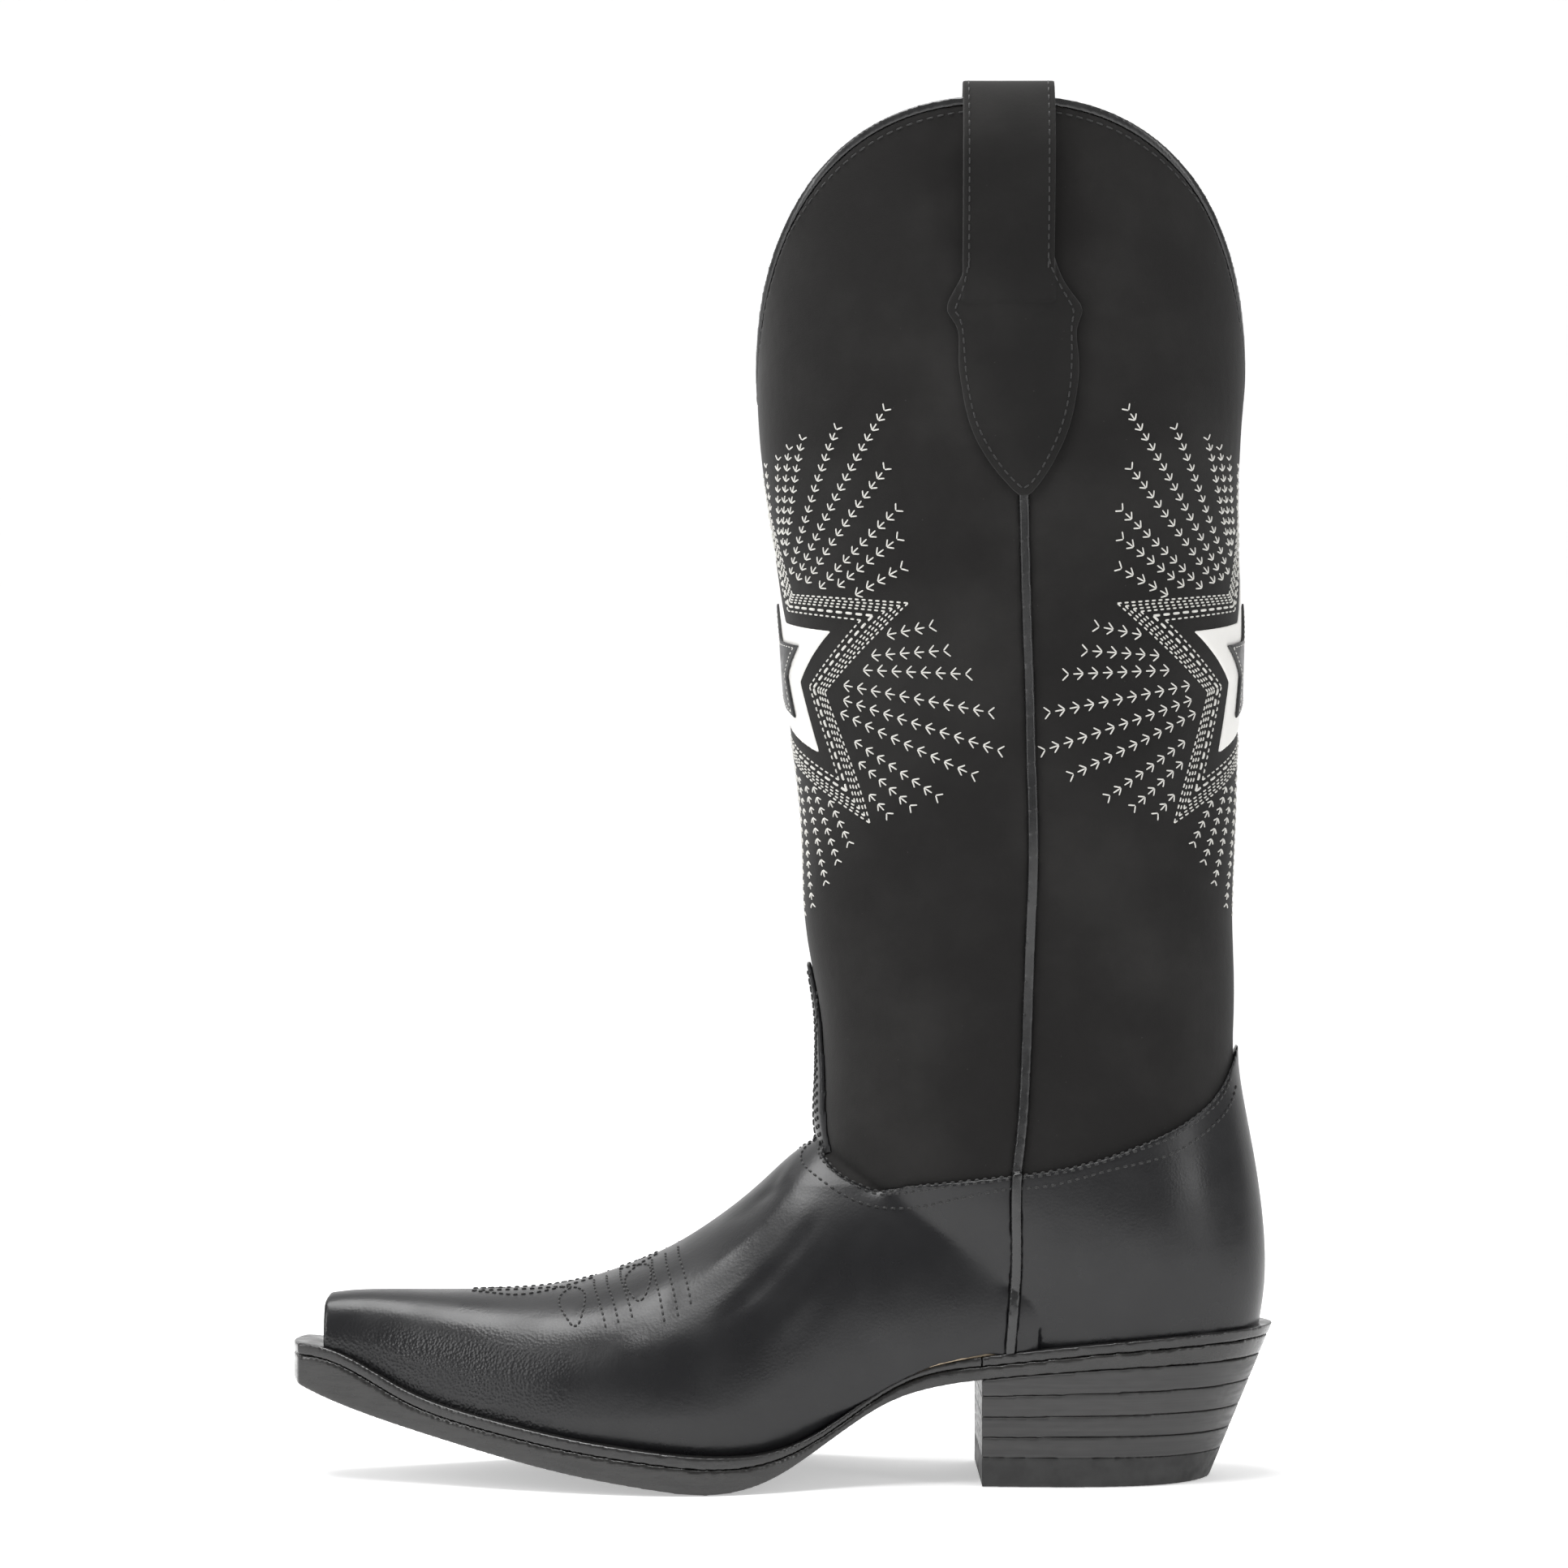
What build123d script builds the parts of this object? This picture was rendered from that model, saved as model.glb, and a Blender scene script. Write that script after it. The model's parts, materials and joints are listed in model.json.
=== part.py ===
"""A women's Western boot for the right foot: snip toe, suede shaft, underslung stacked heel.

Millimetres. +Z up, the toe points to -X, the medial (inner) side is -Y. The origin is on the
floor, below the middle of the boot. Every layer of the upper is the space between two offsets
of one closed body, so neighbouring layers meet face to face.
"""
from build123d import *
from math import cos, hypot, pi, radians, sin
import os

# ---------------------------------------------------------------- driving dimensions
SKIN = 1.6                 # vamp, counter cover and shaft leather
LINING = 1.0
MIDDLE = 2 * SKIN          # depth of the lining's outer face below the vamp's outer face
INSIDE = MIDDLE + LINING   # depth of the lining's inner face
PIPING_PROUD = 1.0
BINDING_WIDTH = 2.4
BINDING_PROUD = 0.3
INSOLE = 3.0
SOCK = 1.0
SHANK = 1.5
SHANK_WIDTH = 15.0
SHANK_X = (2.0, 104.0)     # front and back end of the shank
WELT_LEDGE = 10.5          # width of the welt and the rand, in from the sole's outline
RIM_TOP = 402.4
RIM_DIP = 318.0
RIM_POWER = 2.4
RIM_SECTION_Z = 360.0      # the height whose section the rim's line follows
RIM_CUT_INSETS = (-5.0, 10.0)     # the rim's cutting surface, from outside the wall to inside
TOE_X = -135.2             # front of the upper
TOE_HALF = 10.8            # half width of its squared end
TOE_TOP = 53.6
TOE_EDGE_R = 4.6
TOE_TAPER_X = -126.0       # where the trimming of its corners starts
TOE_CREST = (-100, 64)
BREAST_X = 57.4            # front face of the heel
HEEL_BACK_X = 143.0
STAR_Z = 238.5
WHITE_STAR_R = 31.7
BLACK_STAR_R = 19.0
STAR_WAIST = 0.5           # inner radius of a star over its outer radius
STAR_LAYER = 0.9
STRAP = 1.6                # pull-strap thickness
LIFT_JOINTS = [(26.2, 29.0), (20.2, 21.6), (14.4, 14.9), (8.5, 8.5)]  # at the breast, at the back
NAIL_R = 0.9
HEEL_NAILS = (9, 20.0, 20.0)      # count, then the curve's radius along and across the heel
HEEL_NAIL_Z = (11.0, 39.0)
LIFT_NAILS = (5, 25.0, 24.4)
LIFT_NAIL_ROW = [(64, -18), (64, 0), (64, 18)]
LIFT_NAIL_Z = (0.0, 13.0)
HEEL_MIDDLE_X = 95.0
PEG_R = 0.9
PEG_X = [12 + 5.5 * i for i in range(8)]
PEG_EDGE = 6.0             # from the sole's outline in to a row of pegs
PEG_ENDS = (0.6, 1.2)      # start over the outsole's underside, reach into the filler
BIG = 600.0
MIDDLE_X = 63.5            # middle of the shaft
RING_POINTS = 24
FOOT_SECTIONS = 16
LEG_SECTIONS = 22

# x, top z, bottom z, medial half width, lateral half width, height share, low and high exponent
FOOT = [
    (-142, 52.0, 22.0, 10.5, 10.5, 0.48, 3.0, 2.6),
    (-126, 54.3, 20.0, 14.3, 14.3, 0.46, 3.0, 2.5),
    (-112, 54.4, 16.0, 18.6, 18.0, 0.43, 3.0, 2.4),
    (-88, 54.5, 9.5, 28.5, 27.0, 0.40, 3.0, 2.2),
    (-64, 56.4, 4.5, 37.5, 35.5, 0.38, 3.0, 2.1),
    (-40, 64.1, 1.5, 43.5, 41.5, 0.36, 3.0, 2.0),
    (-24, 72.8, 0.0, 44.0, 44.0, 0.35, 3.2, 1.9),
    (-7.6, 85.4, 0.0, 40.5, 44.0, 0.36, 3.3, 1.9),
    (4, 96.0, 4.0, 37.2, 42.5, 0.38, 3.3, 1.9),
    (18, 100.0, 12.0, 34.4, 39.0, 0.40, 3.3, 1.9),
    (34, 97.0, 18.0, 32.8, 36.0, 0.42, 3.3, 1.9),
    (52, 90.0, 22.0, 31.0, 33.0, 0.45, 3.3, 2.0),
    (74, 80.0, 26.0, 29.5, 30.5, 0.50, 3.0, 2.0),
]
# z, front x, back x, medial half width, lateral half width, exponent
LEG = [
    (28, 52.0, 136.0, 25.5, 26.0, 2.4),
    (44, 46.0, 139.8, 29.0, 29.5, 2.4),
    (55, 38.0, 141.3, 31.5, 32.0, 2.3),
    (66, 30.0, 142.2, 33.0, 33.5, 2.25),
    (80, 20.0, 141.0, 34.0, 34.5, 2.2),
    (92, 12.0, 139.4, 33.8, 34.3, 2.2),
    (104, 8.6, 137.0, 33.0, 33.5, 2.2),
    (116, 9.0, 135.0, 32.5, 33.0, 2.2),
    (128, 9.5, 134.2, 32.0, 32.5, 2.2),
    (145, 7.9, 134.8, 32.2, 32.5, 2.2),
    (170, 4.0, 134.9, 33.0, 33.0, 2.2),
    (200, 2.4, 134.9, 34.4, 34.4, 2.2),
    (235, -0.7, 135.3, 36.0, 36.0, 2.2),
    (270, -4.5, 136.1, 37.3, 37.3, 2.2),
    (305, -8.4, 137.1, 38.2, 38.2, 2.2),
    (340, -10.1, 137.6, 38.7, 38.7, 2.2),
    (375, -10.4, 137.8, 39.0, 39.0, 2.2),
    (412, -10.6, 137.9, 39.0, 39.0, 2.2),
]
# side-view lines (x, z) of the bottom: top of the welt, its underside, and the outsole's underside
FEATHER = [(-150, 39.6), (-142, 39.9), (-133.3, 38.4), (-110.5, 27.4), (-86.3, 20.3),
           (-62.4, 15.6), (-38.8, 12.4), (-15.5, 10.6), (-3.8, 11.6), (7.8, 15.5), (19.6, 22.7), (31.4, 30.2), (43.2, 35.0),
           (57.3, 37.7), (78.3, 40.3), (101.8, 42.6), (126, 44.4), (150, 45.2)]
WELT_LOW = [(-150, 36.2), (-142, 36.5), (-133.3, 35.0), (-110.5, 24.0), (-86.3, 16.9),
            (-62.4, 12.2), (-38.8, 9.0), (-15.5, 7.3), (-3.8, 8.9), (7.8, 13.4), (19.6, 20.8), (31.4, 28.3),
            (43.2, 32.8), (57.3, 34.9), (78.3, 37.3), (101.8, 39.5), (126, 41.2), (150, 42.0)]
SOLE_LOW = [(-150, 32.6), (-143.5, 28.2), (-134.8, 24.2), (-110.2, 16.3), (-86, 10.3), (-62, 5.2),
            (-38.6, 1.6), (-22, 0.0), (-10.8, 1.4), (-1.5, 4.8), (7.8, 10.3), (17.2, 16.6),
            (31.4, 24.9), (43.2, 28.6), (57.2, 30.9), (78, 33.0), (101, 34.6), (126, 35.7),
            (150, 36.4)]
# plan outline of the sole from the toe to the heel breast: x, medial and lateral half width
SOLE_PLAN = [(-142.6, 11.6, 11.6), (-134, 15.0, 15.0), (-126, 17.6, 17.4), (-112, 22.3, 21.6),
             (-88, 32.4, 30.8), (-64, 41.2, 39.2), (-40, 47.0, 45.0), (-24, 47.2, 47.2),
             (-7.6, 43.2, 47.4), (8, 36.0, 43.8), (24, 30.4, 37.4), (40, 28.2, 32.6),
             (57.4, 29.6, 30.8)]
SOLE_TOE_X = -144.6
HEEL_TOP = [(57.4, 29.6, 30.8), (80, 32.0, 32.6), (105, 32.0, 32.4), (125, 27.5, 27.8),
            (139, 16.0, 16.0), (144.8, 0.0, 0.0)]
HEEL_BASE = [(57.4, 28.0, 28.6), (75, 29.4, 29.8), (95, 28.8, 29.2), (111, 23.6, 23.8),
             (121.5, 13.0, 13.0), (125.6, 0.0, 0.0)]
HEEL_TOP_Z = 46.5
# side-view lines of the upper
VAMP_EDGE = [(10.6, 99.5), (11.2, 96.4), (13.8, 92.3), (19.4, 88.2), (25, 86.4), (33, 86.8),
             (48, 88.4), (64.2, 90.3), (70.5, 91.0), (86.9, 93.9), (103.2, 99.1), (114.5, 104.2),
             (125.7, 112.5), (130.6, 119.8), (137.0, 138.0)]
TONGUE = [(0, 151.5), (3.6, 142.0), (6.4, 131.0), (9.0, 118.0), (10.2, 108.0), (10.4, 101.0),
          (10.2, 94.0)]    # half width, z as seen from the front
TONGUE_BASE = (10.0, 80.0)
TONGUE_X = (-60.0, 30.0)
SHAFT_UNDERLAP = 14.0      # how far the shaft runs down behind the vamp
SHAFT_FRONT = [(-60, 126), (-16, 104), (4, 90)]
SHAFT_BACK = (150, 108)
SEAM = [(65.4, -5.0), (65.9, 44.0), (67.2, 64.4), (67.4, 90.8), (68.5, 100.7), (69.9, 120.4),
        (70.7, 140.2), (71.5, 168.0), (71.8, 184.8), (71.5, 208.2), (71.1, 232.8), (70.4, 247.6),
        (69.7, 267.3), (69.2, 286.7), (68.6, 320.0), (68.0, 415.0)]
SEAM_HALF = 1.15           # half the visible width of the piping
PIPING_TOP_Z = 288.0
PIPING_OVERLAP = 0.6       # how far the prouder low part runs over the vamp's edge
TOE_PUFF_X = -92.0
LEAF = [(51.5, 356.0), (49.8, 347.5), (47.1, 339.8), (49.2, 336.4), (50.1, 327.0),
        (50.9, 319.0), (53.6, 307.3), (59.2, 296.6), (65.0, 289.6), (69.3, 286.7),
        (73.2, 289.8), (77.6, 296.6), (81.9, 306.4), (84.3, 317.1), (84.9, 327.0),
        (84.9, 336.8), (86.0, 340.0), (82.8, 345.7), (79.0, 352.7), (78.0, 356.0)]
STRAP_X = (51.4, 77.9)
LOOP = [(38.35, 343.0), (38.6, 352.0), (41.6, 364.0), (44.0, 380.0), (43.2, 395.0), (36.6, 405.8),
        (30.2, 395.0), (28.8, 380.0), (31.0, 364.0), (33.2, 352.0), (33.35, 343.0)]
TAB = (322.0, 356.0)       # bottom and top of the strap's inner tab


def blended(rows, at, column):
    """A column of a station table at any place, by cubic blending between the stations."""
    k = max(i for i in range(len(rows) - 1) if rows[i][0] <= at + 1e-9)

    def slope(i):
        low, high = max(i - 1, 0), min(i + 1, len(rows) - 1)
        return (rows[high][column] - rows[low][column]) / (rows[high][0] - rows[low][0])

    step = rows[k + 1][0] - rows[k][0]
    f = (at - rows[k][0]) / step
    g = 1 - f
    value = rows[k][column] * (1 + 2 * f) * g * g + slope(k) * step * f * g * g
    return value + rows[k + 1][column] * f * f * (1 + 2 * g) - slope(k + 1) * step * f * f * g


def ring(low, high, medial, lateral, share, low_power, high_power, inset):
    """Points (y, s) of a section: half super-ellipses that meet at the widest height."""
    length = high - low
    flat = []
    for i in range(RING_POINTS):
        c, s = cos(2 * pi * i / RING_POINTS), sin(2 * pi * i / RING_POINTS)
        power = high_power if s > 0 else low_power
        reach = (abs(c) ** power + abs(s) ** power) ** (-1 / power)
        width = lateral if c > 0 else medial
        part = 1 - share if s > 0 else share
        flat.append((reach * width * c, low + length * (share + reach * part * s)))
    moved = []
    for i, (y, s) in enumerate(flat):
        before, after = flat[i - 1], flat[(i + 1) % RING_POINTS]
        along_y, along_s = after[0] - before[0], after[1] - before[1]
        size = hypot(along_y, along_s)
        moved.append((y - inset * along_s / size, s + inset * along_y / size))
    return moved


def lofted(rings):
    """A closed body through rings of points that all start at the lateral side."""
    steps = [i / RING_POINTS for i in range(RING_POINTS + 1)]
    edges = [Edge.make_spline([Vector(*p) for p in r], periodic=True, parameters=steps)
             for r in rings]
    return Solid.make_loft([Wire([e]) for e in edges])


def outline_prism(plane, edges, depth=BIG):
    """The face inside a loop of edges drawn on a plane, extruded both ways."""
    face = plane * make_face(edges)
    return extrude(face, amount=depth / 2, both=True)


SIDE = Plane.XZ            # local x, y are the boot's x, z
PLAN = Plane.XY


def above(line, top=BIG):
    """Everything over a side-view line."""
    curve = Spline(*line)
    frame = Polyline(line[-1], (line[-1][0], top), (line[0][0], top), line[0])
    return outline_prism(SIDE, curve + frame)


def between(upper, lower):
    """The band between two side-view lines that share their end stations."""
    ends = Line(upper[0], lower[0]) + Line(upper[-1], lower[-1])
    return outline_prism(SIDE, Spline(*upper) + Spline(*lower) + ends)


def shifted(line, dz):
    return [(x, z + dz) for x, z in line]


def side_box(x0, x1, z0=-BIG / 2, z1=BIG):
    return Pos((x0 + x1) / 2, 0, (z0 + z1) / 2) * Box(x1 - x0, BIG, z1 - z0)


# ---------------------------------------------------------------- the closed bodies
def toe_trim(inset):
    """Squares the toe off and rounds the edges of its end."""
    x = TOE_X + inset
    edge_r = TOE_EDGE_R - inset / 2
    plan_corners = [(x, -TOE_HALF + inset), (TOE_TAPER_X, -BIG / 4), (BIG / 3, -BIG / 4),
                    (BIG / 3, BIG / 4), (TOE_TAPER_X, BIG / 4), (x, TOE_HALF - inset)]
    plan = make_face(Polyline(*plan_corners, close=True))
    plan = fillet([v for v in plan.vertices() if v.X < x + 1], edge_r)
    side_corners = [(x, -BIG / 30), (x, TOE_TOP - inset), TOE_CREST, (TOE_CREST[0], BIG),
                    (BIG / 3, BIG), (BIG / 3, -BIG / 30)]
    side = make_face(Polyline(*side_corners, close=True))
    nose = [v for v in side.vertices() if v.X < x + 1 and v.Y > 0]
    side = SIDE * fillet(nose, edge_r)
    return extrude(side, amount=BIG / 2, both=True) & extrude(plan, amount=BIG, both=True)


def foot(inset):
    rings = []
    for j in range(FOOT_SECTIONS + 1):
        x = FOOT[0][0] + (FOOT[-1][0] - FOOT[0][0]) * j / FOOT_SECTIONS
        top, low, medial, lateral, share, low_n, high_n = [blended(FOOT, x, c) for c in range(1, 8)]
        flat = ring(low, top, medial, lateral, share, low_n, high_n, inset)
        rings.append([(x, y, z) for y, z in flat])
    return lofted(rings) & toe_trim(inset)


def leg(inset):
    rings = []
    for j in range(LEG_SECTIONS + 1):
        z = LEG[0][0] + (LEG[-1][0] - LEG[0][0]) * j / LEG_SECTIONS
        rings.append([(x, y, z) for x, y in leg_section(z, inset)])
    return lofted(rings)


BODIES = {}


def body(inset):
    """The whole boot's volume, with its surface moved in by inset."""
    if inset not in BODIES:
        BODIES[inset] = foot(inset) + leg(inset)
    return BODIES[inset]


SHELLS = {}


def shell(outer, inner):
    """The layer between two offsets, from the feather line up to the rim."""
    if (outer, inner) not in SHELLS:
        SHELLS[outer, inner] = ((body(outer) & FOOT_SPACE) - body(inner)).cut(*OVER_RIM)
    return SHELLS[outer, inner]


def patch(outer, inner, region):
    """A small piece of the layer between two offsets, well below the rim."""
    return (body(outer) & region) - body(inner)


def leg_section(z, inset):
    front, back, medial, lateral, power = [blended(LEG, z, c) for c in range(1, 6)]
    return [(x, y) for y, x in ring(front, back, medial, lateral, 0.5, power, power, inset)]


def rim_heights(drop):
    """Height of the rim at each section point; drop is measured square to the rim's line."""
    points = leg_section(RIM_SECTION_Z, SKIN)
    low, high = min(x for x, _ in points), max(x for x, _ in points)
    heights = []
    for x, _ in points:
        share = min(1.0, abs(2 * x - low - high) / (high - low))
        heights.append(RIM_DIP + (RIM_TOP - RIM_DIP) * (1 - share ** RIM_POWER) ** (1 / RIM_POWER))
    dropped = []
    for i, height in enumerate(heights):
        (x0, y0), (x1, y1) = points[i - 1], points[(i + 1) % RING_POINTS]
        slope = (heights[(i + 1) % RING_POINTS] - heights[i - 1]) / hypot(x1 - x0, y1 - y0)
        dropped.append(height - drop * hypot(1, slope))
    return dropped


def over_rim(drop=0.0):
    """The space over the scalloped rim, or over a line that runs a little below it.

    It is two solids, medial and lateral, that meet at the dips in the front and the back.
    """
    heights = rim_heights(drop)
    quarter, half = RING_POINTS // 4, RING_POINTS // 2
    solids = []
    for first in (quarter, quarter + half):
        edges = []
        for inset in RIM_CUT_INSETS:
            section = leg_section(RIM_SECTION_Z, inset)
            span = [i % RING_POINTS for i in range(first, first + half + 1)]
            edges.append(Edge.make_spline([Vector(*section[i], heights[i]) for i in span]))
        solids.append(Solid.extrude(Face.make_surface_from_curves(*edges), (0, 0, BIG / 4)))
    return solids


FOOT_SPACE = above(FEATHER)
OVER_RIM = over_rim()
OVER_PANELS = over_rim(BINDING_WIDTH)


def seam_side(gap, front):
    """The side-view half of the boot in front of or behind the side seam."""
    sign = -1 if front else 1
    line = [(x + sign * gap, z) for x, z in SEAM]
    far = sign * BIG / 3
    frame = Polyline(line[-1], (far, line[-1][1]), (far, line[0][1]), line[0])
    return outline_prism(SIDE, Spline(*line) + frame)


def panel_half(front):
    """One side of the seam: a gap for the piping below its top end and none above."""
    low = side_box(-BIG, BIG, -50, PIPING_TOP_Z)
    high = side_box(-BIG, BIG, PIPING_TOP_Z, BIG)
    return (seam_side(SEAM_HALF, front) & low) + (seam_side(0, front) & high)


def tongue_prism():
    right = [(y, z) for y, z in TONGUE]
    left = [(-y, z) for y, z in reversed(TONGUE)]
    base = Polyline(right[-1], TONGUE_BASE, (-TONGUE_BASE[0], TONGUE_BASE[1]), left[0])
    face = Plane.YZ * make_face(Spline(*left, *right[1:]) + base)
    return Pos(TONGUE_X[0], 0, 0) * extrude(face, amount=TONGUE_X[1] - TONGUE_X[0])


def below(line):
    curve = Spline(*line)
    first, last = line[0], line[-1]
    frame = Polyline(last, (BIG / 3, last[1]), (BIG / 3, -20), (-BIG / 3, -20),
                     (-BIG / 3, first[1]), first)
    return outline_prism(SIDE, curve + frame)


# ---------------------------------------------------------------- upper
def lowest(dz):
    """The lower edge of a shaft layer: the vamp's edge line moved down, dropping at the front."""
    return shifted(SHAFT_FRONT + VAMP_EDGE[3:12] + [SHAFT_BACK], dz)


def upper_pieces():
    covered = (below(VAMP_EDGE) + tongue_prism()) & FOOT_SPACE
    middle = shell(SKIN, MIDDLE).cut(*OVER_PANELS)
    line = lowest(-SHAFT_UNDERLAP)
    shaft = middle & above(line)
    foot_middle = middle - above(line)
    lining = shell(MIDDLE, INSIDE).cut(*OVER_PANELS)
    lining_line = lowest(-2 * SHAFT_UNDERLAP)
    leg_lining = lining & above(lining_line)
    foot_lining = lining - above(lining_line)
    front, back = panel_half(True), panel_half(False)
    bare_front, bare_back = seam_side(0, True), seam_side(0, False)
    return {
        "vamp": patch(0, SKIN, covered & seam_side(SEAM_HALF, True)),
        "counter_cover": patch(0, SKIN, covered & seam_side(SEAM_HALF, False)),
        "shaft_front": shaft & front,
        "shaft_back": shaft & back,
        "toe_puff": foot_middle & side_box(-BIG, TOE_PUFF_X),
        "vamp_interlining": foot_middle & side_box(TOE_PUFF_X, BIG) & bare_front,
        "heel_counter": foot_middle & bare_back,
        "shaft_lining_front": leg_lining & bare_front,
        "shaft_lining_back": leg_lining & bare_back,
        "vamp_lining": foot_lining & bare_front,
        "counter_lining": foot_lining & bare_back,
    }


def side_piping():
    """The bead in each side seam, prouder on the foot because the leather there is outermost."""
    strip = outline_strip() & side_box(-BIG, BIG, -50, PIPING_TOP_Z)
    foot_part = strip & below(shifted(VAMP_EDGE[3:11], PIPING_OVERLAP)) & FOOT_SPACE
    low = patch(-PIPING_PROUD, SKIN, foot_part)
    high = patch(SKIN - PIPING_PROUD, SKIN, strip & FOOT_SPACE)
    core = patch(SKIN, MIDDLE, strip & above(lowest(-SHAFT_UNDERLAP)))
    bead = low + high + core
    return {
        "side_piping_medial": bead & half_space(-1),
        "side_piping_lateral": bead & half_space(1),
    }


def half_space(sign):
    return Pos(0, sign * BIG / 2, 0) * Box(2 * BIG, BIG, 2 * BIG)


def outline_strip():
    left = [(x - SEAM_HALF, z) for x, z in SEAM]
    right = [(x + SEAM_HALF, z) for x, z in SEAM]
    ends = Line(left[0], right[0]) + Line(left[-1], right[-1])
    return outline_prism(SIDE, Spline(*left) + Spline(*right) + ends)


def top_binding():
    """The thin strip folded over the rim of the shaft and its lining."""
    band = shell(SKIN - BINDING_PROUD, INSIDE + BINDING_PROUD)
    halves = [band & space for space in OVER_PANELS]
    return {"top_binding": halves[0] + halves[1]}


def strap_loop():
    """The free part of a pull strap, seen from the front, from the leaf over the rim to the tab."""
    outer, inner = [], []
    for i, (y, z) in enumerate(LOOP):
        before, after = LOOP[max(i - 1, 0)], LOOP[min(i + 1, len(LOOP) - 1)]
        dy, dz = after[0] - before[0], after[1] - before[1]
        size = hypot(dy, dz)
        outer.append((y + STRAP / 2 * dz / size, z - STRAP / 2 * dy / size))
        inner.append((y - STRAP / 2 * dz / size, z + STRAP / 2 * dy / size))
    ends = Line(outer[0], inner[0]) + Line(outer[-1], inner[-1])
    face = Plane.YZ * make_face(Spline(*outer) + Spline(*inner) + ends)
    return Pos(STRAP_X[0], 0, 0) * extrude(face, amount=STRAP_X[1] - STRAP_X[0])


def pull_straps():
    """Each strap: a leaf sewn to the outside, a free loop over the rim, and a tab inside."""
    leaf_shape = outline_prism(SIDE, Spline(*LEAF) + Line(LEAF[-1], LEAF[0]))
    leaves = patch(SKIN - STRAP, SKIN, leaf_shape)
    tabs = patch(INSIDE, INSIDE + STRAP, side_box(*STRAP_X, *TAB))
    side = half_space(1)
    lateral = (leaves & side) + (tabs & side) + strap_loop()
    return {
        "pull_strap_lateral": lateral,
        "pull_strap_medial": mirror(lateral, about=Plane.XZ),
    }


def girth_to_y(z, girth):
    """How far to the side a point lies that is a given girth away from the shaft's front line."""
    front, back, medial, _, power = [blended(LEG, z, c) for c in range(1, 6)]
    half = (back - front) / 2 - SKIN
    wide = medial - SKIN
    steps, walked, y, depth = 400, 0.0, 0.0, 0.0
    for i in range(1, steps):
        new_y = wide * i / steps
        new_depth = half * (1 - (1 - (new_y / wide) ** power) ** (1 / power))
        walked += hypot(new_y - y, new_depth - depth)
        y, depth = new_y, new_depth
        if walked >= girth:
            break
    return y


def star_prism(radius, front):
    corners = []
    for k in range(10):
        reach = radius if k % 2 == 0 else radius * STAR_WAIST
        across = reach * sin(radians(36 * k))
        z = STAR_Z + reach * cos(radians(36 * k))
        side = 1 if across > 0 else -1
        corners.append((side * girth_to_y(z, abs(across)), z))
    face = Plane.YZ * make_face(Polyline(*corners, close=True))
    return Pos(MIDDLE_X, 0, 0) * extrude(face, amount=-BIG / 4 if front else BIG / 4)


def stars():
    white, black = SKIN - STAR_LAYER, SKIN - 2 * STAR_LAYER
    made = {}
    for name, front in (("front", True), ("back", False)):
        made[f"star_white_{name}"] = patch(white, SKIN, star_prism(WHITE_STAR_R, front))
        made[f"star_black_{name}"] = patch(black, white, star_prism(BLACK_STAR_R, front))
    return made


# ---------------------------------------------------------------- bottom
def sided(table, sign):
    """Outline points on one side; sign -1 is medial."""
    return [(x, sign * (medial if sign < 0 else lateral)) for x, medial, lateral in table]


def sole_plan(inset=0.0):
    """The sole's plan outline from the toe to the heel breast, as a tall prism."""
    table = [(x + (inset if x < -130 else 0), m - inset, n - inset) for x, m, n in SOLE_PLAN]
    medial, lateral = sided(table, -1), sided(table, 1)
    toe = ThreePointArc(medial[0], (SOLE_TOE_X + inset, 0), lateral[0])
    edges = Spline(*medial) + toe + Spline(*lateral) + Line(medial[-1], lateral[-1])
    return outline_prism(PLAN, edges, 4 * BIG)


def heel_wire(table, z, inset):
    medial = [(x, y + inset) for x, y in sided(table, -1)[:-1]]
    lateral = [(x, y - inset) for x, y in sided(table, 1)[:-1]]
    tip = (table[-1][0] - inset, 0)
    points = [Vector(x, y, z) for x, y in medial + [tip] + lateral[::-1]]
    curve = Edge.make_spline(points, tangents=[Vector(1, -0.12, 0), Vector(-1, -0.12, 0)])
    return Wire([curve, Edge.make_line(points[-1], points[0])])


def heel_block(inset=0.0):
    """The tapered volume of the heel, from above the heel seat down to the floor."""
    wires = [heel_wire(HEEL_BASE, 0, inset), heel_wire(HEEL_TOP, HEEL_TOP_Z, inset)]
    return Solid.make_loft(wires, ruled=True)


def pins_at(places, radius, low, high):
    return [Pos(x, y, (low + high) / 2) * Cylinder(radius, high - low) for x, y in places]


def heel_places(count, along, across):
    """Points spread evenly round the back half of an ellipse in the heel's plan."""
    turns = [pi * (i / (count - 1) - 0.5) for i in range(count)]
    return [(HEEL_MIDDLE_X + along * cos(turn), across * sin(turn)) for turn in turns]


def peg_places():
    """Two rows of pegs along the waist, one row near each edge."""
    sides = ((-1, 1), (1, 2))
    return [(x, sign * (blended(SOLE_PLAN, x, column) - PEG_EDGE))
            for x in PEG_X for sign, column in sides]


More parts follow.
